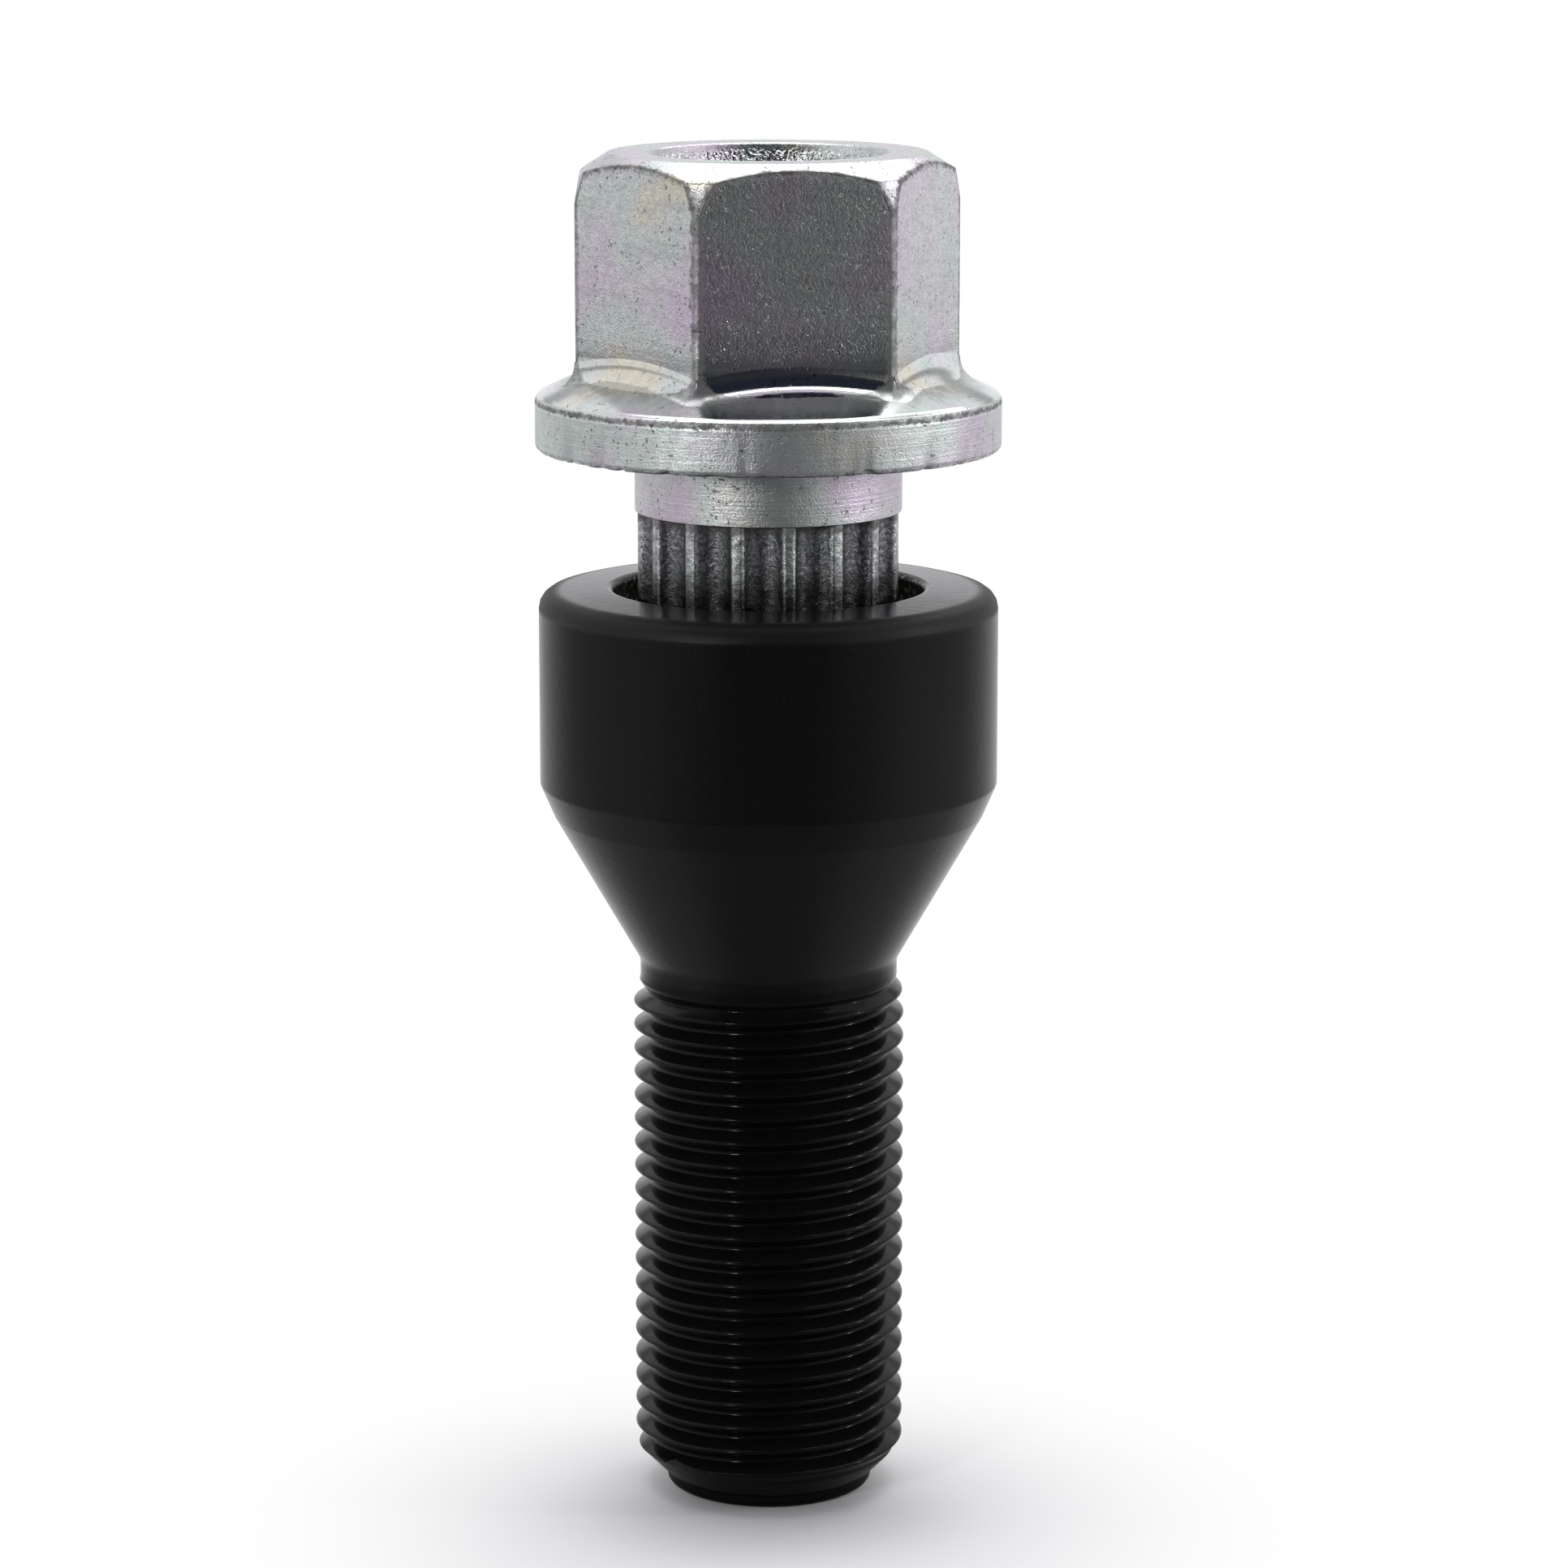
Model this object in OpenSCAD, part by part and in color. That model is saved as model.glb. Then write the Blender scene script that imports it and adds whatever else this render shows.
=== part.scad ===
// Locking wheel bolt with its key plugged into the splined socket of its head.
// The pair stands on the bolt's tip. Both pieces are turned about the Z axis.
// The origin is the centre of the tip's end face and the hexagon's flats face along Y.

/* [Shank] */
// Nominal diameter of the wheel bolt thread
thread_d = 14; // [13.5:0.5:16]
// How far the coated crests lie under the nominal diameter
thread_undersize = 0.14; // [0.04:0.02:0.24]
// Length of the full thread, from the tip chamfer to the run-out
thread_len = 24; // [16:0.5:40]
// Height over which the thread runs out into the neck
runout_h = 0.8; // [0.4:0.1:1.6]
// Diameter of the relieved neck under the seat
bolt_neck_d = 13.16; // [12:0.02:13.3]
// Height of the relieved neck
bolt_neck_h = 0.95; // [0.4:0.05:4]
// Diameter of the plain pilot at the tip
pilot_d = 10.6; // [8:0.1:12]
// Height of the pilot, up to the tip chamfer
pilot_h = 0.6; // [0.5:0.1:5]
// Edge radius round the pilot's end face
pilot_edge_r = 0.35; // [0.1:0.05:0.5]
// Angle between the tip chamfer and the axis
tip_chamfer_angle = 45; // [30:1:60]

/* [Seat] */
// Included angle of the conical seat
seat_angle = 60; // [56:1:90]
// Largest diameter of the conical seat
seat_d = 21.9; // [20:0.1:22.6]
// Height of the steeper shoulder between the seat and the head
shoulder_h = 1.6; // [0.8:0.1:3]

/* [Head] */
// Outer diameter of the round head
head_d = 23.28; // [22.8:0.02:28]
// Height of the head, from the shoulder to the rim of its mouth
head_h = 10.05; // [9.6:0.05:16]
// Radius of the head's upper outer edge
head_edge_r = 0.9; // [0.3:0.1:1.5]
// How far the top face falls from the mouth to the outer edge
head_top_drop = 0.2; // [0:0.05:0.6]

/* [Socket] */
// Diameter of the plain mouth above the splines
mouth_d = 15.74; // [15:0.02:17]
// Depth of the plain mouth
mouth_depth = 1.5; // [0.8:0.1:2.5]
// Edge radius round the rim of the mouth
mouth_edge_r = 0.3; // [0.1:0.05:0.5]
// Depth of the splined stretch under the mouth
socket_depth = 7; // [4:0.5:8]
// Clearance between the spline and the socket, measured on the radius
spline_gap = 0.15; // [0.05:0.05:0.3]

/* [Spline] */
// Outer diameter of the key's spline
spline_d = 13.3; // [12:0.1:14]
// Number of flutes round the spline
flute_count = 16; // [10:1:18]
// Radius of the concave flutes
flute_r = 1.1; // [0.8:0.05:1.2]
// Depth of a flute under the outer diameter
flute_depth = 0.72; // [0.4:0.02:0.9]
// Length of the spline, from its end to the key's neck
spline_len = 12.4; // [11:0.1:20]
// Chamfer at the spline's end
spline_chamfer = 0.5; // [0.2:0.1:1]

/* [Key flange] */
// Diameter of the plain neck between the spline and the flange
key_neck_d = 13.5; // [12.5:0.1:15]
// Height of the plain neck
key_neck_h = 3.15; // [1:0.05:8]
// How far the flange stands out past the bolt's round head
flange_overhang = 0.11; // [0:0.01:3]
// Height of the flange's cylindrical side
flange_h = 2.9; // [1.5:0.1:6]
// Radius of the flange's lower edge
flange_low_edge_r = 0.3; // [0.1:0.05:0.6]
// Radius of the flange's upper edge
flange_top_edge_r = 0.5; // [0.2:0.05:0.8]
// Slope of the flange's conical top
flange_slope = 24; // [5:1:35]

/* [Key hexagon] */
// Width across the flats
hex_af = 17; // [17:1:19]
// Height of the hexagon above the flange's side
hex_h = 11.95; // [9:0.05:30]
// Outer diameter of the flat ring on top
ring_d = 16; // [14.5:0.1:16.2]
// Angle of the top chamfer under the horizontal
crown_angle = 32; // [20:1:45]
// Diameter where the top chamfer turns into the steep corner facets
crown_d = 18.8; // [17.6:0.1:19]
// Angle between the corner facets and the axis
corner_angle = 12; // [8:1:25]
// Diameter of the recess in the top
recess_d = 12.1; // [8:0.1:12.8]
// Depth of the recess
recess_depth = 2.5; // [1.5:0.1:6]
// Angle between the recess's tapered wall and the axis
recess_draft = 20; // [0:1:30]
// Radius between the recess's wall and floor
recess_corner_r = 1.2; // [0.2:0.1:1.4]
// Radius round the recess's rim
recess_rim_r = 0.2; // [0.1:0.05:0.6]

/* [Hidden] */
$fn = 96;

// Overlap that lets a cut run clear of a face
cut = 1;

crest_r = (thread_d - thread_undersize) / 2;
pilot_r = pilot_d / 2;
bolt_neck_r = bolt_neck_d / 2;
seat_r = seat_d / 2;
head_r = head_d / 2;
mouth_r = mouth_d / 2;
spline_r = spline_d / 2;
flute_pitch_r = spline_r - flute_depth + flute_r;
flange_r = head_r + flange_overhang;
ring_r = ring_d / 2;
crown_r = crown_d / 2;
recess_r = recess_d / 2;
hex_corner_r = hex_af / 2 / cos(30);

// Heights up the bolt, each from the one below
thread_low_z = pilot_h + (crest_r - pilot_r) / tan(tip_chamfer_angle);
thread_top_z = thread_low_z + thread_len;
bolt_neck_z = thread_top_z + runout_h;
seat_low_z = bolt_neck_z + bolt_neck_h;
seat_top_z = seat_low_z + (seat_r - bolt_neck_r) / tan(seat_angle / 2);
head_low_z = seat_top_z + shoulder_h;
head_top_z = head_low_z + head_h;
mouth_floor_z = head_top_z - mouth_depth;
socket_floor_z = mouth_floor_z - socket_depth;

// Heights up the key, which stands on the socket's floor
key_neck_z = socket_floor_z + spline_len;
flange_low_z = key_neck_z + key_neck_h;
flange_top_z = flange_low_z + flange_h;
hex_top_z = flange_top_z + hex_h;
crown_z = hex_top_z - (crown_r - ring_r) * tan(crown_angle);

// Points along an arc about a centre, from one angle to another
function arc(centre, r, from, to, steps = 8) =
    [for (i = [0:steps]) let (a = from + (to - from) * i / steps) centre + r * [cos(a), sin(a)]];

// Half section of the bolt without its mouth and socket
function bolt_section() = concat(
    [[0, 0]],
    arc([pilot_r - pilot_edge_r, pilot_edge_r], pilot_edge_r, -90, 0, 4),
    [
        [pilot_r, pilot_h],
        [crest_r, thread_low_z],
        [crest_r, thread_top_z],
        [bolt_neck_r, bolt_neck_z],
        [bolt_neck_r, seat_low_z],
        [seat_r, seat_top_z],
        [head_r, head_low_z],
    ],
    arc([head_r - head_edge_r, head_top_z - head_top_drop - head_edge_r], head_edge_r, 0, 90),
    [[mouth_r + mouth_edge_r, head_top_z], [0, head_top_z]]
);

// Half section of the mouth, with the rounding of its rim
function mouth_section() = concat(
    [[0, mouth_floor_z], [mouth_r, mouth_floor_z]],
    arc([mouth_r + mouth_edge_r, head_top_z - mouth_edge_r], mouth_edge_r, 180, 90, 4),
    [[mouth_r + mouth_edge_r, head_top_z + cut], [0, head_top_z + cut]]
);

// Half section of the flange, whose cone runs on inside the hexagon
function flange_section() = let (
    edge_r = flange_r - flange_top_edge_r,
    core_r = hex_af / 2 - cut,
    core_z = flange_top_z + (edge_r - core_r) * tan(flange_slope)
) concat(
    [[0, flange_low_z]],
    arc([flange_r - flange_low_edge_r, flange_low_z + flange_low_edge_r], flange_low_edge_r, -90, 0, 4),
    arc([edge_r, flange_top_z - flange_top_edge_r], flange_top_edge_r, 0, 90 - flange_slope),
    [[core_r, core_z], [0, core_z]]
);

// Half section of the turned outline that trims the hexagon's top and corners
function crown_section() = let (
    outer_r = hex_corner_r + cut,
    outer_z = crown_z - (outer_r - crown_r) / tan(corner_angle)
) [
    [0, flange_low_z],
    [outer_r, flange_low_z],
    [outer_r, outer_z],
    [crown_r, crown_z],
    [ring_r, hex_top_z],
    [0, hex_top_z],
];

// Half section of the recess, with its tapered wall, round rim and round corner
function recess_section() = let (
    floor_z = hex_top_z - recess_depth,
    lift = 1 - sin(recess_draft),
    taper = tan(recess_draft),
    side = cos(recess_draft),
    corner_x = recess_r - (recess_depth - recess_corner_r * lift) * taper - recess_corner_r * side,
    rim_x = recess_r - recess_rim_r * lift * taper + recess_rim_r * side
) concat(
    [[0, floor_z]],
    arc([corner_x, floor_z + recess_corner_r], recess_corner_r, -90, -recess_draft),
    arc([rim_x, hex_top_z - recess_rim_r], recess_rim_r, 180 - recess_draft, 90, 4),
    [[rim_x, hex_top_z + cut], [0, hex_top_z + cut]]
);

// Half section that chamfers the spline's end
function spline_end_section() = [
    [0, socket_floor_z],
    [spline_r - spline_chamfer, socket_floor_z],
    [spline_r, socket_floor_z + spline_chamfer],
    [spline_r, key_neck_z + cut],
    [0, key_neck_z + cut],
];

// Round bar with concave flutes, whose outline is drawn out or in by a gap all the way round
module fluted_bar(gap, low_z, top_z) {
    difference() {
        translate([0, 0, low_z]) cylinder(h = top_z - low_z, r = spline_r + gap);
        for (i = [0:flute_count - 1])
            rotate([0, 0, 360 * (i + 0.5) / flute_count])
                translate([flute_pitch_r, 0, low_z - cut])
                    cylinder(h = top_z - low_z + 2 * cut, r = flute_r - gap);
    }
}

// Forged and turned bolt: pilot, shank, 60 degree seat, round head and splined socket
module lock_bolt() {
    color([0.07, 0.07, 0.08])
        difference() {
            rotate_extrude() polygon(bolt_section());
            rotate_extrude() polygon(mouth_section());
            fluted_bar(spline_gap, socket_floor_z, mouth_floor_z + cut);
        }
}

// One-piece key: fluted spline, plain neck, flange with a conical top and a hexagon
module key() {
    color([0.76, 0.77, 0.78])
        difference() {
            union() {
                intersection() {
                    fluted_bar(0, socket_floor_z, key_neck_z);
                    rotate_extrude() polygon(spline_end_section());
                }
                translate([0, 0, key_neck_z])
                    cylinder(h = key_neck_h + cut, d = key_neck_d);
                rotate_extrude() polygon(flange_section());
                intersection() {
                    translate([0, 0, flange_low_z + cut])
                        cylinder(h = hex_top_z - flange_low_z, r = hex_corner_r, $fn = 6);
                    rotate_extrude() polygon(crown_section());
                }
            }
            rotate_extrude() polygon(recess_section());
        }
}

lock_bolt();
key();
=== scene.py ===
import math

import bmesh
import bpy
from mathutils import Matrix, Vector, noise


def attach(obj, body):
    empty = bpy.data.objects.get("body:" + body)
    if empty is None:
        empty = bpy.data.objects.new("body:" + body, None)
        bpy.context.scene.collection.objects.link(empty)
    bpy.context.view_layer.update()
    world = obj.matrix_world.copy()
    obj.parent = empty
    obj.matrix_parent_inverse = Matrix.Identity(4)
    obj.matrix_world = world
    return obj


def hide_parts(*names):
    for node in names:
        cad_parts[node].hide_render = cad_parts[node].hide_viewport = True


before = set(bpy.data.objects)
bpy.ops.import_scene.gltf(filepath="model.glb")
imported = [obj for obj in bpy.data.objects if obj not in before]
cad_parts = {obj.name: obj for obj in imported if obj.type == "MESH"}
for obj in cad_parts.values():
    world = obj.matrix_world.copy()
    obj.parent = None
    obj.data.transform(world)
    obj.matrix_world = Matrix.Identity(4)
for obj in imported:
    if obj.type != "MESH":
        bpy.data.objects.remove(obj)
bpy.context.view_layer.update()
scene = bpy.context.scene


# Camera: a long lens a little above the flange and a little to the left of the hexagon's front
# flat. It sees the rim of the recess, the mouth of the socket and the thread down to the floor.
camera_azimuth = math.radians(-9.1)
camera_rise = math.radians(11.2)
camera_distance = 0.26927
camera_lens = 121.1
aim_height = 0.036936
aim_right = 0.000785

camera_right = Vector((math.cos(camera_azimuth), math.sin(camera_azimuth), 0))
camera_front = Vector((math.sin(camera_azimuth), -math.cos(camera_azimuth), 0))
camera_back = camera_front * math.cos(camera_rise) + Vector((0, 0, math.sin(camera_rise)))
aim_point = camera_right * aim_right + Vector((0, 0, aim_height))

camera = bpy.data.objects.new("camera", bpy.data.cameras.new("camera"))
camera.data.lens = camera_lens
camera.data.sensor_fit = "HORIZONTAL"
camera.data.clip_start = 0.01
camera.location = aim_point + camera_back * camera_distance
camera.rotation_euler = (-camera_back).to_track_quat("-Z", "Y").to_euler()
scene.collection.objects.link(camera)
scene.camera = camera
scene.view_settings.view_transform = "Standard"


# Studio: a white tent round the bolt, open towards the camera, where it is dark and turns navy
# higher up. A soft lamp hangs overhead and a smaller one behind on the right. Two small bright
# lamps, at the front left and on the right, make the short gleams on the thread.
class Wire:
    """One output of a shader node. Ordinary sums on it add Math nodes."""

    def __init__(self, tree, socket):
        self.tree = tree
        self.socket = socket

    def node(self, kind, settings=None, values=None, output=0):
        """Adds a node: first its settings, then the values or links of its sockets."""
        made = self.tree.nodes.new(kind)
        for name, value in (settings or {}).items():
            if name == "stops":
                for stop in made.color_ramp.elements[1:]:
                    made.color_ramp.elements.remove(stop)
                made.color_ramp.elements[0].position = value[0][0]
                made.color_ramp.elements[0].color = (*value[0][1], 1)
                for position, colour in value[1:]:
                    made.color_ramp.elements.new(position).color = (*colour, 1)
            else:
                setattr(made, name, value)
        for name, value in (values or {}).items():
            if isinstance(value, Wire):
                self.tree.links.new(value.socket, made.inputs[name])
            else:
                made.inputs[name].default_value = value
        return Wire(self.tree, made.outputs[output] if made.outputs else None)

    def out(self, name):
        """Another output of the same node."""
        return Wire(self.tree, self.socket.node.outputs[name])

    def sum(self, operation, *values):
        return self.node("ShaderNodeMath", {"operation": operation}, dict(enumerate(values)))

    def __add__(self, other):
        return self.sum("ADD", self, other)

    def __radd__(self, other):
        return self.sum("ADD", other, self)

    def __sub__(self, other):
        return self.sum("SUBTRACT", self, other)

    def __rsub__(self, other):
        return self.sum("SUBTRACT", other, self)

    def __mul__(self, other):
        return self.sum("MULTIPLY", self, other)

    def __rmul__(self, other):
        return self.sum("MULTIPLY", other, self)

    def __truediv__(self, other):
        return self.sum("DIVIDE", self, other)

    def __pow__(self, other):
        return self.sum("POWER", self, other)

    def __abs__(self):
        return self.sum("ABSOLUTE", self)

    def least(self, other):
        return self.sum("MINIMUM", self, other)

    def most(self, other):
        return self.sum("MAXIMUM", self, other)

    def rise(self, low, high):
        """0 below low, 1 above high and a smooth step between. It falls where low is the larger."""
        values = {"Value": self, "From Min": low, "From Max": high}
        return self.node("ShaderNodeMapRange", {"interpolation_type": "SMOOTHSTEP"}, values)

    def speckle(self, scale, detail, roughness=0.5):
        """A noise from 0 to 1 over the place that this gives, with grains about 1 / scale wide."""
        values = {"Vector": self, "Scale": scale, "Detail": detail, "Roughness": roughness}
        return self.node("ShaderNodeTexNoise", None, values)


def shader_of(owner):
    """The emptied shader tree of a material or world. Its end node is added last."""
    owner.use_nodes = True
    owner.node_tree.nodes.clear()
    return Wire(owner.node_tree, None)


def mix_colour(wire, share, first, second):
    """A colour between two, by a share from 0 to 1."""
    settings = {"data_type": "RGBA"}
    return wire.node("ShaderNodeMix", settings, {0: share, 6: first, 7: second}, output=2)


tent_white = (0.88, 0.88, 0.9, 1)
back_white = (0.95, 0.96, 0.98, 1)
back_grey = (0.45, 0.45, 0.46, 1)
opening_dark = (0.028, 0.03, 0.036, 1)
opening_navy = (0.017, 0.021, 0.034, 1)
tent_glow = 0.8
wall_share = 0.45

world = bpy.data.worlds.new("studio")
scene.world = world
tent = shader_of(world)
towards = tent.node("ShaderNodeTexCoord", output="Generated")
facing_camera = towards.node(
    "ShaderNodeVectorMath", {"operation": "DOT_PRODUCT"},
    {0: towards, 1: camera_front}, output="Value",
)
height = towards.node("ShaderNodeSeparateXYZ", None, {0: towards}).out("Z")
# The cosine of the turn from the camera, whatever the height
level = facing_camera / (1.0001 - height * height) ** 0.5
# The opening is wider in its upper half and is closed at the very top
widening = 0.45 * height.rise(0.35, 0.7)
opening = (level + widening).rise(0.72, 0.96) * height.rise(0.995, 0.96)
dark = mix_colour(tent, height.rise(0.4, 0.7), opening_dark, opening_navy)
# A grey band low on the back wall
low_back = height.rise(0.2, 0.26) * height.rise(0.4, 0.32) * facing_camera.rise(0, -0.3)
wall = mix_colour(tent, facing_camera.rise(-0.3, -0.8), tent_white, back_white)
wall = mix_colour(tent, low_back, wall, back_grey)
wall = mix_colour(tent, opening, wall, dark)
ray = tent.node("ShaderNodeLightPath")
even = tent.node("ShaderNodeBackground", None, {"Color": (1, 1, 1, 1), "Strength": tent_glow})
mirrored = tent.node("ShaderNodeBackground", None, {"Color": wall, "Strength": 1.0})
white = tent.node("ShaderNodeBackground", None, {"Color": (1, 1, 1, 1), "Strength": 1.0})
share = ray.out("Is Glossy Ray").most(wall_share)
lit = tent.node("ShaderNodeMixShader", None, {0: share, 1: even, 2: mirrored})
seen = tent.node("ShaderNodeMixShader", None, {0: ray.out("Is Camera Ray"), 1: lit, 2: white})
tent.node("ShaderNodeOutputWorld", None, {"Surface": seen})


def hang_lamp(name, spot, size, radiance):
    """A flat lamp that faces the middle of the bolt. Its power follows from how bright it looks."""
    lamp = bpy.data.objects.new(name, bpy.data.lights.new(name, "AREA"))
    lamp.data.shape = "RECTANGLE"
    lamp.data.size = size[0]
    lamp.data.size_y = size[1]
    lamp.data.energy = radiance * math.pi * size[0] * size[1]
    lamp.location = spot
    lamp.rotation_euler = (Vector((0, 0, aim_height)) - spot).to_track_quat("-Z", "Y").to_euler()
    lamp.visible_camera = False
    scene.collection.objects.link(lamp)


def stand_spot(turn, rise, distance):
    """A point round the bolt, turned to the right of the camera and raised, both in degrees."""
    around = camera_azimuth + math.radians(turn)
    flat = Vector((math.sin(around), -math.cos(around), 0)) * math.cos(math.radians(rise))
    return (flat + Vector((0, 0, math.sin(math.radians(rise))))) * distance


hang_lamp("top_lamp", stand_spot(180, 82, 0.26), (0.2, 0.16), 2.0)
hang_lamp("back_lamp", stand_spot(143, 50, 0.3), (0.08, 0.08), 2.2)
hang_lamp("left_lamp", stand_spot(-34, 22, 0.3), (0.02, 0.04), 52)
hang_lamp("right_lamp", stand_spot(84, 22, 0.3), (0.02, 0.04), 42)


# Floor: a smooth white sheet that the bolt's tip stands on. It keeps the bolt's soft shadow, with
# a painted contact shadow added in front of the tip, and turns into the white of the tent further
# out. In the bolt's gloss it has painted shade: darker at the sides and most in front, under the
# tent's opening.
floor_drop = 0.00002
floor_white = (0.86, 0.86, 0.88, 1)
floor_shade = (0.1, 0.1, 0.105, 1)
shadow_shift = 0.007
floor_mesh = bmesh.new()
bmesh.ops.create_circle(floor_mesh, cap_ends=True, segments=96, radius=0.5)
bmesh.ops.translate(floor_mesh, verts=floor_mesh.verts, vec=(0, 0, -floor_drop))
floor = bpy.data.objects.new("floor", bpy.data.meshes.new("floor"))
floor_mesh.to_mesh(floor.data)
floor_mesh.free()
scene.collection.objects.link(floor)

sheet = bpy.data.materials.new("white sheet")
paper = shader_of(sheet)
place = paper.node("ShaderNodeTexCoord", output="Object")
from_tip = place.node("ShaderNodeVectorMath", {"operation": "LENGTH"}, {0: place}, output="Value")
ray = paper.node("ShaderNodeLightPath")
forward = place.node(
    "ShaderNodeVectorMath", {"operation": "DOT_PRODUCT"},
    {0: place, 1: camera_front}, output="Value",
)
# 1 straight ahead of the tip, towards the camera, and -1 straight behind it
ahead = forward / from_tip
# 1 close to the tip and 0 from 60 mm out
near = from_tip.rise(0.06, 0.02)
# Painted shade: how dark the sheet is painted in the gloss, and for the camera, which sees only
# the painted contact shadow close in front of the tip
painted_floor_shade = 0.6 * ahead.rise(-1.1, -0.3) + 0.4 * ahead.rise(0.3, 1) * (1 - 0.45 * near)
painted_floor_shade = painted_floor_shade * from_tip.rise(0.0, 0.006)
# A painted contact shadow on the sheet, just in front of the tip, seen by the camera
painted_contact_shadow = 0.32 * from_tip.rise(0.016, 0.006) * ahead.rise(0.2, 1)
painted_floor_shade = painted_floor_shade + (painted_contact_shadow - painted_floor_shade) * ray.out("Is Camera Ray")
paper_with_painted_shade = mix_colour(paper, painted_floor_shade, floor_white, floor_shade)
lifted = paper.node("ShaderNodeBsdfDiffuse", None, {"Color": paper_with_painted_shade})
plain = paper.node("ShaderNodeEmission", None, {"Strength": 1.0})
shifted = place.node(
    "ShaderNodeVectorMath", {"operation": "SUBTRACT"}, {0: place, 1: camera_front * shadow_shift}
)
away = place.node("ShaderNodeVectorMath", {"operation": "LENGTH"}, {0: shifted}, output="Value")
away = away.rise(0.004, 0.03) * ray.out("Is Camera Ray")
surface = paper.node("ShaderNodeMixShader", None, {0: away, 1: lifted, 2: plain})
paper.node("ShaderNodeOutputMaterial", None, {"Surface": surface})
floor.data.materials.append(sheet)


# Bolt: a forged and turned steel wheel bolt with a black coat. Its thread is rolled, its 60 degree
# seat and round head are turned, and the splined socket that the key fits is pressed into the head.
# Sizes and heights are in millimetres up from the tip, and the finished mesh is shrunk to metres.
thread_pitch = 1.25
crest_r = 6.93
# Height of the crest at the start of each turn, over a whole number of pitches
crest_phase = 0.097
thread_turns = 24
turn_steps = 96
# One ridge from groove to groove: each point's radius, and its height from the crest
thread_outline = [
    (6.160, -0.625), (6.166, -0.555), (6.196, -0.500), (6.262, -0.455), (6.842, -0.120),
    (6.892, -0.085), (6.922, -0.045), (6.930, 0.000), (6.922, 0.045), (6.892, 0.085),
    (6.842, 0.120), (6.262, 0.455), (6.196, 0.500), (6.166, 0.555), (6.160, 0.625),
]
# Heights between which the groove opens at the tip and closes at the neck
runin_low = 1.6
runin_high = 2.5
runout_low = 25.95
runout_high = 27.15

tip_end_r = 5.3
tip_edge_r = 0.35
tip_cone_z = 0.6
tip_cone_top_z = 0.75
tip_join_z = 0.95
neck_r = 6.58
neck_join_z = 27.45
neck_low_z = 27.65
join_slack = 0.05
seat_low_z = 27.98
seat_fillet_r = 0.9
seat_r = 10.95
seat_top_z = 35.55
head_r = 11.64
head_low_z = 37.15
head_edge_r = 0.9
head_top_z = 47.20
head_top_drop = 0.22
mouth_r = 7.87
mouth_edge_r = 0.3
ring_steps = 384

spline_count = 16
spline_r = 6.65
flute_r = 1.1
flute_pitch_r = 7.03
spline_gap = 0.15
socket_floor_z = 38.70
socket_top_z = 45.70
# Share of the ring's points that lie on the lands between the flutes
land_share = 4 / 24

crease_angle = math.radians(38)
flat_face_area = 40
millimetre = 0.001


def soften(corners, steps=4, hold=0.04):
    """The points of a half section whose corners are rounded, each (radius, height, rounding)."""
    points = []
    for i, (radius, height, rounding) in enumerate(corners):
        corner = Vector((radius, height))
        if not rounding:
            points.append(corner)
            continue
        back = (Vector(corners[i - 1][:2]) - corner).normalized()
        ahead = (Vector(corners[i + 1][:2]) - corner).normalized()
        half = back.angle(ahead) / 2
        reach = rounding / math.tan(half)
        centre = corner + (back + ahead).normalized() * (rounding / math.sin(half))
        start = corner + back * reach - centre
        end = corner + ahead * reach - centre
        points.append(corner + back * (reach + hold))
        sweep = [start.slerp(end, step / steps).normalized() for step in range(steps + 1)]
        points += [centre + bearing * rounding for bearing in sweep]
        points.append(corner + ahead * (reach + hold))
    return points


def turn(mesh, outline, steps):
    """Spins a half section, in radius and height, round the axis and adds the result to a mesh."""
    part = bmesh.new()
    points = [part.verts.new((radius, 0, height)) for radius, height in outline]
    chain = [part.edges.new(pair) for pair in zip(points, points[1:])]
    bmesh.ops.spin(
        part, geom=points + chain, cent=(0, 0, 0), axis=(0, 0, 1),
        angle=math.tau, steps=steps, use_merge=True,
    )
    bmesh.ops.remove_doubles(part, verts=part.verts, dist=1e-4)
    holder = bpy.data.meshes.new("part")
    part.to_mesh(holder)
    part.free()
    mesh.from_mesh(holder)
    bpy.data.meshes.remove(holder)


def cut_flutes(points, gap):
    """Moves the points of a round bar or hole onto its fluted outline, drawn out by a gap."""
    land_r = spline_r + gap
    hollow_r = flute_r - gap
    # Half the angle that a flute takes up at the axis, that a land takes up there, and that the
    # flute's arc takes up at the flute's own centre
    reach = (land_r**2 + flute_pitch_r**2 - hollow_r**2) / (2 * land_r * flute_pitch_r)
    land_half = math.tau / spline_count / 2 - math.acos(reach)
    hollow_half = math.asin(land_r * math.sin(math.acos(reach)) / hollow_r)
    for point in points:
        # Which land is nearest, and where the point lies between it and the middle of a flute
        step = math.atan2(point.co.y, point.co.x) % math.tau * spline_count / math.tau
        land = math.floor(step + 0.5)
        share = (step - land) * 2
        land_middle = math.tau * land / spline_count
        share_in = (abs(share) - land_share) / (1 - land_share)
        side = 1 if share >= 0 else -1
        if share_in <= 1e-6:
            bearing = land_middle + side * land_half * abs(share) / land_share
            new_r = land_r
        else:
            sweep = hollow_half * (1 - share_in)
            deep = flute_pitch_r - hollow_r * math.cos(sweep)
            aside = hollow_r * math.sin(sweep)
            bearing = land_middle + side * (math.pi / spline_count - math.atan2(aside, deep))
            new_r = math.hypot(deep, aside)
        new_r = min(new_r, point.co.xy.length)
        point.co.x = new_r * math.cos(bearing)
        point.co.y = new_r * math.sin(bearing)


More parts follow.
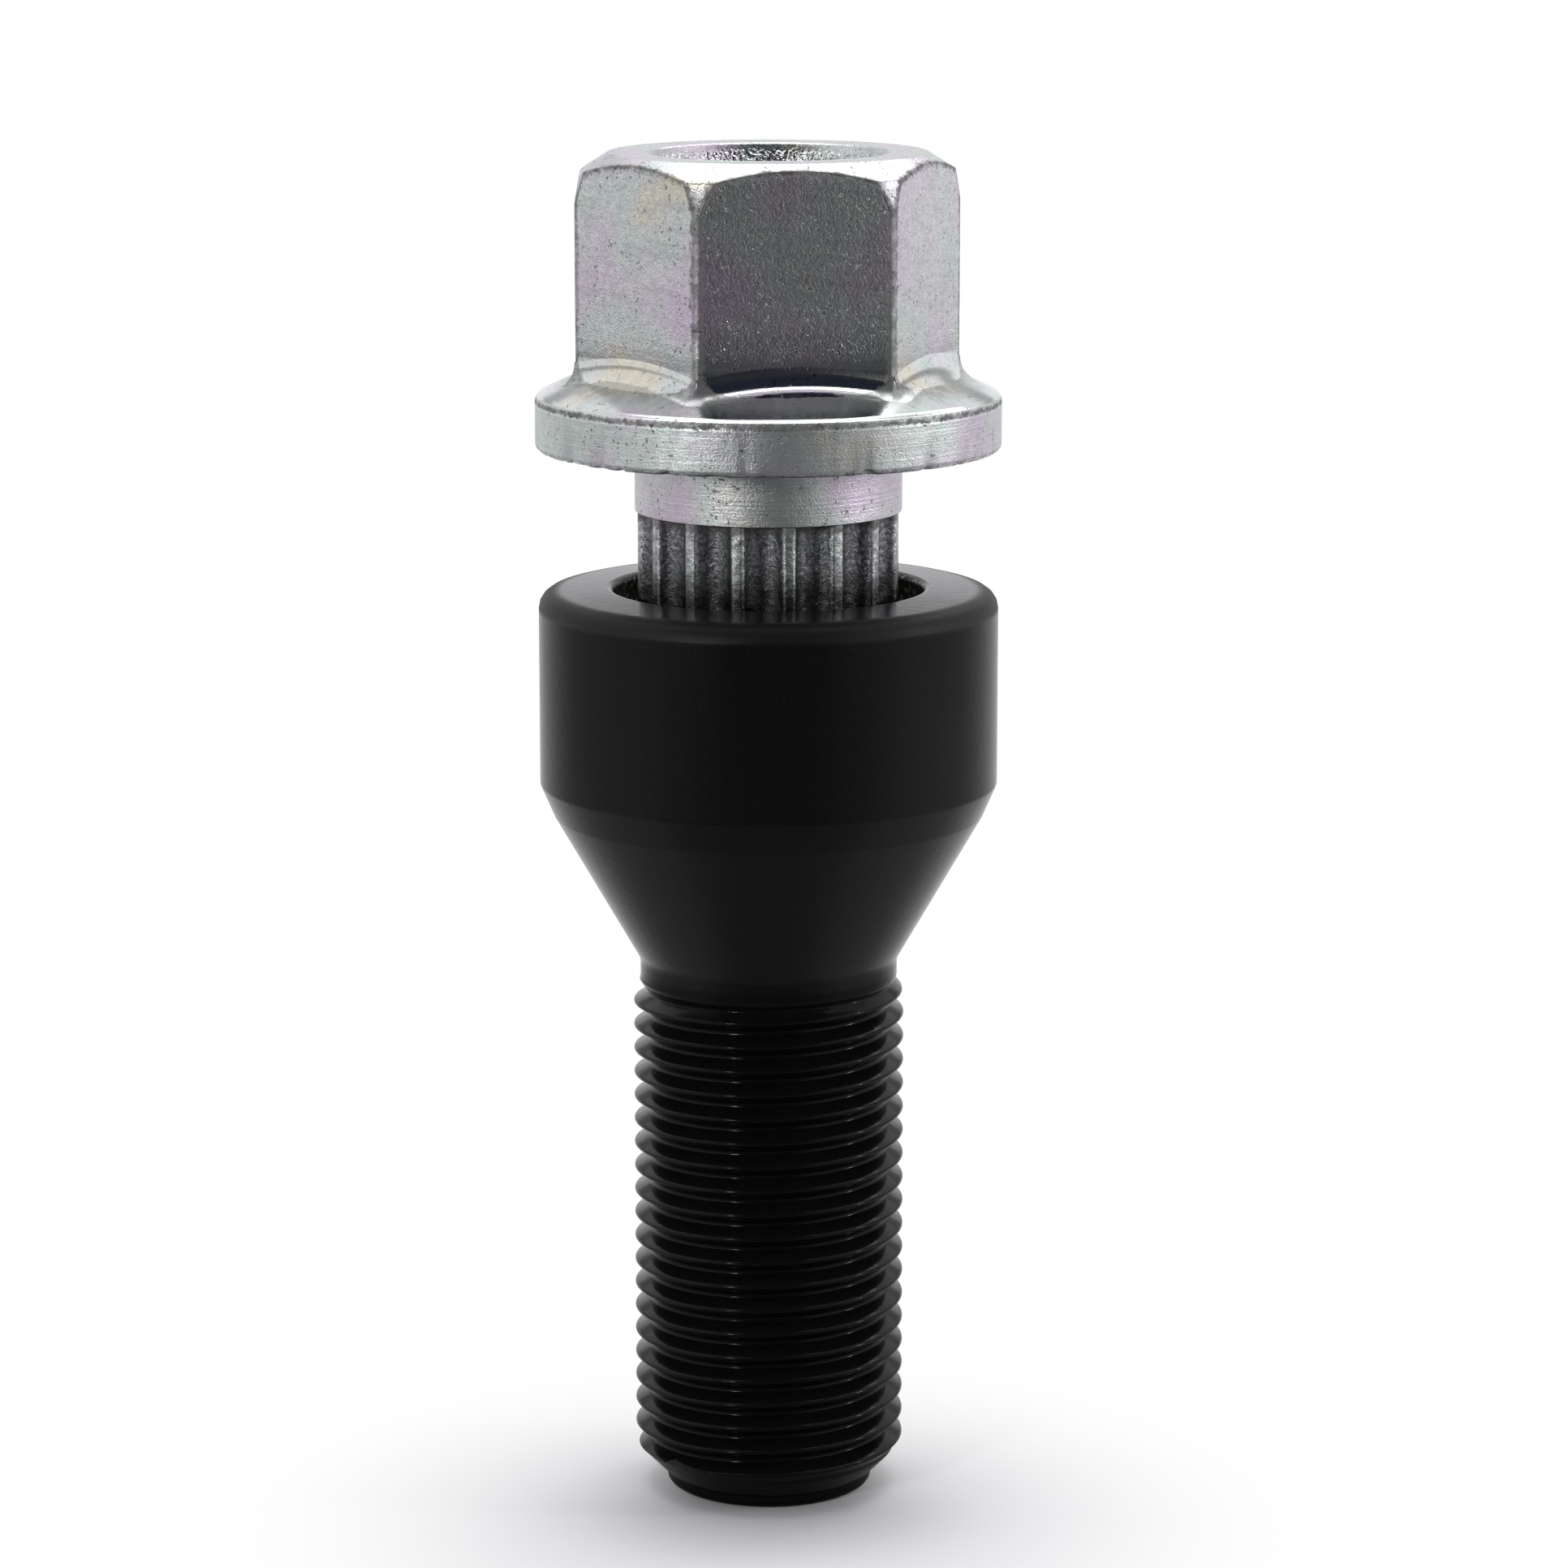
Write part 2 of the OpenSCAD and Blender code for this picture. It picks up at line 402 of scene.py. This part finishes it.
def join_rings(mesh, low, high):
    """Closes the gap between two open rings, the lower and the higher one, with a band of faces."""
    edges = [
        edge for edge in mesh.edges
        if edge.is_boundary
        and all(low - join_slack < point.co.z < high + join_slack for point in edge.verts)
    ]
    bmesh.ops.bridge_loops(mesh, edges=edges)


def smooth_step(value, low, high):
    """0 below low, 1 above high and a smooth step between. It falls where low is the larger."""
    share = min(max((value - low) / (high - low), 0), 1)
    return share * share * (3 - 2 * share)


def finish_piece(name, mesh, crisp=()):
    """Makes a closed mesh in millimetres a piece in metres, with faces outward and edges crisp."""
    bmesh.ops.recalc_face_normals(mesh, faces=mesh.faces)
    for edge in mesh.edges:
        edge.smooth = edge.calc_face_angle(0) < crease_angle
    for edge in crisp:
        edge.smooth = False
    for face in mesh.faces:
        face.smooth = face.calc_area() < flat_face_area
    bmesh.ops.scale(mesh, verts=mesh.verts, vec=(millimetre, millimetre, millimetre))
    piece = bpy.data.objects.new(name, bpy.data.meshes.new(name))
    mesh.to_mesh(piece.data)
    mesh.free()
    scene.collection.objects.link(piece)
    return piece


# The thread is one turn of the helix, copied up the shank, faded out at both ends and cut off level
bolt_mesh = bmesh.new()
start_z = crest_phase - thread_pitch
ridge = [bolt_mesh.verts.new((radius, 0, start_z + height)) for radius, height in thread_outline]
ridge += [bolt_mesh.edges.new(pair) for pair in zip(ridge, ridge[1:])]
bmesh.ops.spin(
    bolt_mesh, geom=ridge, cent=(0, 0, 0), axis=(0, 0, 1),
    dvec=(0, 0, thread_pitch / turn_steps), angle=math.tau, steps=turn_steps,
)
first_turn = bolt_mesh.verts[:] + bolt_mesh.edges[:] + bolt_mesh.faces[:]
for turn_count in range(1, thread_turns):
    copied = bmesh.ops.duplicate(bolt_mesh, geom=first_turn)["geom"]
    moved = [part for part in copied if isinstance(part, bmesh.types.BMVert)]
    bmesh.ops.translate(bolt_mesh, verts=moved, vec=(0, 0, turn_count * thread_pitch))
bmesh.ops.remove_doubles(bolt_mesh, verts=bolt_mesh.verts, dist=1e-4)
for point in bolt_mesh.verts:
    radius = math.hypot(point.co.x, point.co.y)
    chamfer_r = max(tip_end_r + point.co.z - tip_cone_z, 1)
    runout = smooth_step(point.co.z, runout_low, runout_high)
    runin = smooth_step(point.co.z, runin_high, runin_low)
    new_r = min(radius + (neck_r - radius) * runout, chamfer_r)
    new_r += (min(crest_r, chamfer_r) - new_r) * runin
    point.co.x *= new_r / radius
    point.co.y *= new_r / radius
for cut_z, side in ((tip_join_z, -1), (neck_join_z, 1)):
    everything = bolt_mesh.verts[:] + bolt_mesh.edges[:] + bolt_mesh.faces[:]
    bmesh.ops.bisect_plane(
        bolt_mesh, geom=everything, dist=1e-5,
        plane_co=(0, 0, cut_z), plane_no=(0, 0, side), clear_outer=True,
    )
bmesh.ops.remove_doubles(bolt_mesh, verts=bolt_mesh.verts, dist=1e-4)

# The tip, and the head with its mouth and socket, are turned and joined to the thread's cut ends
tip_outline = soften([
    (0, 0, 0), (tip_end_r, 0, tip_edge_r), (tip_end_r, tip_cone_z, 0.05),
    (tip_end_r + tip_cone_top_z - tip_cone_z, tip_cone_top_z, 0),
])
socket_r = spline_r + spline_gap
head_outline = soften([
    (neck_r, neck_low_z, 0), (neck_r, seat_low_z, seat_fillet_r), (seat_r, seat_top_z, 0.5),
    (head_r, head_low_z, 0.4), (head_r, head_top_z - head_top_drop, head_edge_r),
    (mouth_r, head_top_z, mouth_edge_r), (mouth_r, socket_top_z, 0.1),
    (socket_r, socket_top_z, 0), (socket_r, socket_floor_z, 0), (0, socket_floor_z, 0),
])
turn(bolt_mesh, tip_outline, ring_steps)
turn(bolt_mesh, head_outline, ring_steps)
socket_wall = [
    point for point in bolt_mesh.verts
    if point.co.z > socket_floor_z - 0.01 and 0.1 < point.co.xy.length < socket_r + 0.01
]
cut_flutes(socket_wall, spline_gap)
join_rings(bolt_mesh, tip_cone_top_z, tip_join_z)
join_rings(bolt_mesh, neck_join_z, neck_low_z)
bolt = finish_piece("coated_bolt", bolt_mesh)
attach(bolt, "bolt")
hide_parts("lock_bolt")


def measure(tree):
    """A point's place in millimetres, its three parts, and how far it lies from the axis."""
    place = tree.node("ShaderNodeTexCoord", output="Object")
    scaling = {0: place, "Scale": 1 / millimetre}
    place = place.node("ShaderNodeVectorMath", {"operation": "SCALE"}, scaling)
    axes = place.node("ShaderNodeSeparateXYZ", None, {0: place})
    across, depth, height = axes.out("X"), axes.out("Y"), axes.out("Z")
    return place, across, depth, height, (across * across + depth * depth) ** 0.5


coat = bpy.data.materials.new("black coat")
black = shader_of(coat)
place, across, depth, height, from_axis = measure(black)
coat_black = (0.0042, 0.0042, 0.0045, 1)
coat_dusty = (0.0075, 0.0075, 0.008, 1)
mouth_brown = (0.022, 0.018, 0.013, 1)
bare_steel = (0.36, 0.33, 0.27, 1)
peel = place.speckle(2.2, 3)
dust = place.speckle(9, 2)
smear = place.speckle(0.35, 4)
# The mouth is worn, with chips down to bare steel
inside = from_axis.rise(8.05, 7.9) * height.rise(45.2, 45.5)
bare = inside * place.speckle(3.2, 5).rise(0.54, 0.62)
paint = mix_colour(black, dust.rise(0.45, 0.8), coat_black, coat_dusty)
paint = mix_colour(black, inside, paint, mouth_brown)
paint = mix_colour(black, bare, paint, bare_steel)
bump = black.node("ShaderNodeBump", None, {"Strength": 0.05, "Distance": 0.0002, "Height": peel})
# The coat is duller round the head's upper edge, and thinner and less glossy on the thread
upper_edge = height.rise(45.9, 46.3) * from_axis.rise(10.4, 11.1)
on_thread = height.rise(27.6, 27.2)
roughness = 0.12 + 0.08 * smear + 0.04 * dust + 0.2 * inside.most(1.6 * upper_edge)
roughness = roughness - 0.05 * on_thread
head_index = 1.33
thread_index = 1.22
coats = [
    black.node(
        "ShaderNodeBsdfPrincipled",
        None,
        {
            "Base Color": paint,
            "Metallic": bare * 0.8,
            "Roughness": roughness,
            "IOR": index,
            "Normal": bump,
        },
    )
    for index in (head_index, thread_index)
]
surface = black.node("ShaderNodeMixShader", None, {0: on_thread, 1: coats[0], 2: coats[1]})
black.node("ShaderNodeOutputMaterial", None, {"Surface": surface})
bolt.data.materials.append(coat)


# Key: one turned and milled steel part with bright zinc plating. Its fluted spline fits the bolt's
# socket, and its 17 mm hexagon takes the wheel wrench. The hexagon's top is chamfered round, its
# corners are eased by steep facets, and a shallow recess is pressed into its top.
key_neck_z = 51.10
key_neck_r = 6.75
spline_chamfer = 0.5
land_edge_r = 0.2
flange_low_z = 54.25
flange_low_edge_r = 0.3
flange_top_z = 57.15
flange_r = 11.749
flange_edge_r = 0.5
cone_angle = math.radians(24)
cone_fall = math.tan(cone_angle)
# The cone runs in under the hexagon, whose sides are cut into it inside trim_r
cone_inner_r = 7.4
trim_r = 9.92
bruise_depth = 0.28
bruise_reach = 0.5

hex_half = 8.5
hex_corner_r = 0.4
hex_fillet = 0.85
hex_top_z = 69.099
ring_r = 8.0
crown_r = 9.4
crown_fall = math.tan(math.radians(32))
crown_z = hex_top_z - (crown_r - ring_r) * crown_fall
corner_fall = 1 / math.tan(math.radians(12))
crown_outer_r = 10.3
recess_r = 6.05
recess_rim_r = 0.2
recess_floor_r = 5.14
recess_floor_z = 66.60
recess_corner_r = 1.2
# A height between the hexagon's two ends, and how near to a plane a point counts as on it
mid_hex_z = 60
plane_slack = 2e-4


def cone_z(radius):
    """The height of the flange's conical top at a radius."""
    top_r = flange_r - flange_edge_r + flange_edge_r * math.sin(cone_angle)
    top_z = flange_top_z - flange_edge_r + flange_edge_r * math.cos(cone_angle)
    return top_z + (top_r - radius) * cone_fall


key_mesh = bmesh.new()
stem_outline = soften([
    (0, socket_floor_z, 0), (spline_r - spline_chamfer, socket_floor_z, 0.05),
    (spline_r, socket_floor_z + spline_chamfer, 0.05), (spline_r, key_neck_z, 0),
    (key_neck_r, key_neck_z, 0.08), (key_neck_r, flange_low_z, 0.12),
    (flange_r, flange_low_z, flange_low_edge_r), (flange_r, cone_z(flange_r), flange_edge_r),
    (trim_r, cone_z(trim_r), 0), (cone_inner_r, cone_z(cone_inner_r), 0),
])
turn(key_mesh, stem_outline, ring_steps)
spline_wall = [
    point for point in key_mesh.verts
    if point.co.z < key_neck_z + 0.01 and 0.1 < point.co.xy.length < spline_r + 0.01
]
cut_flutes(spline_wall, 0)
key_mesh.normal_update()
land_edges = [
    edge for edge in key_mesh.edges
    if edge.calc_length() > 5 and edge.calc_face_angle(0) > 0.5
    and all(point.co.xy.length > spline_r - 0.05 for point in edge.verts)
]
bmesh.ops.bevel(
    key_mesh, geom=land_edges, offset=land_edge_r, offset_type="OFFSET", segments=3, profile=0.5,
    affect="EDGES", material=-1,
)

# The lower edge of the flange is nicked and bruised from use
for point in key_mesh.verts:
    radius = math.hypot(point.co.x, point.co.y)
    if radius > flange_r - bruise_reach and point.co.z < flange_low_z + bruise_reach:
        from_edge = math.hypot(flange_r - radius, point.co.z - flange_low_z)
        near_edge = max(0, 1 - from_edge / bruise_reach)
        bruise = noise.noise(point.co * 1.1) + 0.6 * noise.noise(point.co * 2.7)
        dent = max(0, bruise - 0.1) * bruise_depth * near_edge
        point.co.x *= 1 - dent / radius
        point.co.y *= 1 - dent / radius
        point.co.z += dent * 0.8

# The hexagon's flats, and the narrow strips that round its corners, by their direction and reach
sides = []
for corner in range(0, 360, 60):
    strips = [(corner - 30, hex_half)]
    for lean in (-15, 0, 15):
        reach = (hex_half - hex_corner_r) / math.cos(math.pi / 6) * math.cos(math.radians(lean))
        strips.append((corner + lean, reach + hex_corner_r))
    for angle, reach in strips:
        bearing = math.radians(angle)
        sides.append((Vector((math.cos(bearing), math.sin(bearing), 0)), reach))


def touching(faces):
    """The faces with their edges and corners, as bisect_plane takes them."""
    return list({part for face in faces for part in (face, *face.edges, *face.verts)})


def lies_on(point, normal, reach):
    """Whether a point lies on the upright plane that is square to normal at reach from the axis."""
    return abs(point.co.dot(normal) - reach) < plane_slack


# The sides are cut into the flange's cone, whose part under the hexagon is taken out
cone = [
    face for face in key_mesh.faces
    if face.calc_center_median().z > flange_top_z + 0.2
    and face.calc_center_median().xy.length < trim_r
]
for normal, reach in sides:
    parts = bmesh.ops.bisect_plane(
        key_mesh, geom=touching(cone), dist=1e-5, plane_co=normal * reach, plane_no=normal
    )
    cone = [part for part in parts["geom"] if isinstance(part, bmesh.types.BMFace)]
under_hexagon = [
    face for face in cone
    if all(face.calc_center_median().dot(normal) < reach for normal, reach in sides)
]
bmesh.ops.delete(key_mesh, geom=under_hexagon, context="FACES")

# The crown is turned with the recess, the flat ring, the chamfer and the corner facets, and the
# sides trim what stands past them
crown_outline = soften([
    (0, recess_floor_z, 0), (recess_floor_r, recess_floor_z, recess_corner_r),
    (recess_r, hex_top_z, recess_rim_r), (ring_r, hex_top_z, 0.15), (crown_r, crown_z, 0.12),
    (crown_outer_r, crown_z - (crown_outer_r - crown_r) * corner_fall, 0),
])
turn(key_mesh, crown_outline, ring_steps)
for normal, reach in sides:
    crown = [face for face in key_mesh.faces if face.calc_center_median().z > mid_hex_z]
    bmesh.ops.bisect_plane(
        key_mesh, geom=touching(crown), dist=1e-5,
        plane_co=normal * reach, plane_no=normal, clear_outer=True,
    )
bmesh.ops.remove_doubles(key_mesh, verts=key_mesh.verts, dist=1e-4)

# Each side is one face between its two upright edges, the crown's arc and the flange's arc
for (normal, reach), (next_normal, next_reach) in zip(sides, sides[1:] + sides[:1]):
    ends = [
        point for point in key_mesh.verts
        if point.is_boundary
        and lies_on(point, normal, reach)
        and lies_on(point, next_normal, next_reach)
    ]
    bmesh.ops.contextual_create(key_mesh, geom=ends)
for normal, reach in sides:
    outline = [
        edge for edge in key_mesh.edges
        if (edge.is_boundary or edge.is_wire)
        and all(lies_on(point, normal, reach) for point in edge.verts)
    ]
    bmesh.ops.contextual_create(key_mesh, geom=outline)
bmesh.ops.recalc_face_normals(key_mesh, faces=key_mesh.faces)

# The sides' arcs at the flange get a round fillet, and those at the crown stay crisp
upright = [
    face for face in key_mesh.faces
    if abs(face.normal.z) < 1e-4 and mid_hex_z < face.calc_center_median().z < crown_z
]
side_edges = {edge for face in upright for edge in face.edges}
base_arcs = [edge for edge in side_edges if max(point.co.z for point in edge.verts) < mid_hex_z]
crown_arcs = [edge for edge in side_edges if min(point.co.z for point in edge.verts) > mid_hex_z]
bmesh.ops.bevel(
    key_mesh, geom=base_arcs, offset=hex_fillet, offset_type="OFFSET", segments=6, profile=0.5,
    affect="EDGES", material=-1,
)
key = finish_piece("zinc_key", key_mesh, crown_arcs)
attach(key, "key")
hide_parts("key")

plate = bpy.data.materials.new("zinc plate")
zinc = shader_of(plate)
place, across, depth, height, from_axis = measure(zinc)


def reach_towards(angle):
    """How far a point lies from the axis along the line square to a pair of flats."""
    return abs(across * math.cos(math.radians(angle)) + depth * math.sin(math.radians(angle)))


# How far a point of the hexagon lies inside its flats, and under its chamfer and corner facets
inside_flats = hex_half - reach_towards(30).most(reach_towards(90)).most(reach_towards(150))
under_chamfer = hex_top_z - (from_axis - ring_r) * crown_fall - height
under_facets = crown_z - (from_axis - crown_r) * corner_fall - height
under_crown = under_chamfer.least(under_facets)

# Parts of the key: the fluted stem, the round sides of neck and flange, the flange's cone, the low
# end of the hexagon's flats, the recess, every turned surface, and the corner facets
on_stem = height.rise(key_neck_z + 0.1, key_neck_z)
on_side = height.rise(key_neck_z, key_neck_z + 0.1) * height.rise(56.6, 56.5)
on_cone = height.rise(56.6, 56.7) * height.rise(60, 59) * from_axis.rise(11.7, 11.6)
low_flat = height.rise(61.5, 60) * height.rise(58.9, 59)
in_recess = from_axis.rise(6.0, 5.8) * height.rise(66.0, 66.3)
on_turned = inside_flats.rise(-0.02, -0.1).most(from_axis.rise(8, 7))
facet = under_crown.rise(0.12, 0.02) * from_axis.rise(9.42, 9.5) * height.rise(60, 61)

# What the plating has all over: grain, patches of bloom, pits and slanted scratches
grain = place.speckle(3.5, 6, 0.6)
fine = place.speckle(11, 3)
bloom = place.speckle(0.2, 2)
patchy = place.speckle(1.6, 3)
pits = place.speckle(5, 2).rise(0.62, 0.68) * place.speckle(0.8, 2).rise(0.4, 0.6)
slant = {"X": (across + depth) * 0.15, "Y": height + 0.12 * across}
scratches = place.node("ShaderNodeCombineXYZ", None, slant).speckle(2.4, 3)

# Dirt, in ragged lines along the hexagon's edges and corners and the flange's edges, with painted
# shade under the flange's top edge and a painted shadow under the neck
ragged = grain - 0.5
worn_edge = (inside_flats.most(under_crown * 0.5) + 0.6 * ragged).rise(0.17, 0.02)
worn_edge = worn_edge * height.rise(60, 61) * under_crown.rise(-0.08, 0.0)
corner_line = (from_axis + 0.4 * ragged).rise(9.58, 9.70)
corner_line = corner_line * height.rise(57, 58) * height.rise(68.2, 68)
# Partly wear and partly painted shade: a dark ragged line just under the flange's top edge, for the
# dark that the edge's rounding reflects
uneven = height + 0.5 * ragged
worn_and_shaded_edge_line = uneven.rise(56.56, 56.66) * uneven.rise(56.9, 56.8) * from_axis.rise(11.4, 11.5)
low_edge = (height + 0.7 * ragged).rise(54.6, 54.45) * from_axis.rise(11.3, 11.5)
# Painted shadow: a dark ragged band on the top of the spline, under the neck's overhang
painted_neck_shadow = (height + 0.8 * ragged).rise(50.5, 50.8) * height.rise(key_neck_z + 0.04, key_neck_z)
grime_and_painted_shade = worn_edge.most(0.8 * corner_line).most(worn_and_shaded_edge_line)
grime_and_painted_shade = grime_and_painted_shade.most(0.6 * low_edge * grain.rise(0.46, 0.56)).most(0.7 * painted_neck_shadow)
grime_and_painted_shade = grime_and_painted_shade * (0.7 + 0.3 * patchy.rise(0.4, 0.6))

# Grease in the flutes, and painted shade deep in the socket, where the stem turns near black
flute = (from_axis + 0.5 * ragged).rise(6.6, 6.38) * height.rise(key_neck_z + 0.05, key_neck_z)
greasy = (flute * 0.9).most(0.55 * on_stem * place.speckle(3, 4).rise(0.4, 0.6))
# Painted shade: the stem darkens from 49.4 mm down, towards and inside the socket
deep = (height + 0.8 * ragged).rise(49.4, 47.4)

plain = (0.76, 0.765, 0.775, 1)
tints = bloom.node(
    "ShaderNodeValToRGB",
    {"stops": [
        (0.28, (0.78, 0.62, 0.80)), (0.42, (0.78, 0.71, 0.78)), (0.50, (0.75, 0.76, 0.76)),
        (0.56, (0.67, 0.78, 0.72)), (0.64, (0.76, 0.76, 0.73)), (0.72, (0.82, 0.76, 0.58)),
    ]},
    {0: bloom},
)
grease = mix_colour(
    zinc, place.speckle(5, 4).rise(0.42, 0.66), (0.05, 0.05, 0.053, 1), (0.26, 0.26, 0.27, 1)
)
smooth_parts = on_side.most(on_cone)
skin = mix_colour(zinc, 0.75, plain, tints)
for share, colour in (
    (fine.rise(0.42, 0.62) * (0.45 - 0.2 * smooth_parts), (0.42, 0.42, 0.44, 1)),
    (grain.rise(0.42, 0.7) * (0.3 - 0.15 * smooth_parts), (0.34, 0.345, 0.36, 1)),
    (scratches.rise(0.5, 0.66) * 0.2 * (1 - on_turned), (0.3, 0.3, 0.31, 1)),
    # Painted shade: the corner facets darker, for the dark opening they reflect
    (facet * 0.8, (0.3, 0.3, 0.32, 1)),
    (greasy, grease),
    # Painted shade, near black low on the stem
    (deep * 0.93, (0.02, 0.02, 0.02, 1)),
    (patchy.rise(0.35, 0.65) * 0.16, (0.36, 0.36, 0.38, 1)),
    (pits * 0.8, (0.10, 0.095, 0.09, 1)),
    # Dirt, and painted shade under the flange's top edge and the neck, in one dark colour
    (grime_and_painted_shade * 0.85, (0.07, 0.065, 0.06, 1)),
):
    skin = mix_colour(zinc, share, skin, colour)

# The relief: grain everywhere, turning marks round the axis, a rough floor in the recess, and
# pits. The cone is nearly smooth.
turned = place.node("ShaderNodeCombineXYZ", None, {"X": from_axis * 7, "Y": height * 7})
rings = turned.speckle(1, 4, 0.7)
raised = (0.8 + 1.5 * on_stem) * grain + 0.9 * fine + 6 * in_recess * place.speckle(5, 1)
raised = raised + (0.5 + 0.7 * on_side) * rings * on_turned
sunk = 0.8 * pits - 0.3 * scratches * (1 - on_turned) + 0.5 * grime_and_painted_shade * fine
lumps = (raised - sunk) * (1 - 0.9 * on_cone)
polish = (1 - 0.7 * on_cone.most(in_recess)) * (1 - 0.5 * low_flat)
roughness = (0.11 + 0.2 * grain + 0.12 * fine) * polish
roughness = roughness + 0.25 * grime_and_painted_shade + 0.06 * on_stem + 0.1 * on_side
bump = zinc.node("ShaderNodeBump", None, {"Strength": 0.6, "Distance": 0.00004, "Height": lumps})
surface = zinc.node(
    "ShaderNodeBsdfPrincipled",
    None,
    {
        "Base Color": skin,
        "Metallic": 1 - 0.5 * grime_and_painted_shade,
        "Roughness": roughness,
        "Normal": bump,
    },
)
zinc.node("ShaderNodeOutputMaterial", None, {"Surface": surface})
key.data.materials.append(plate)
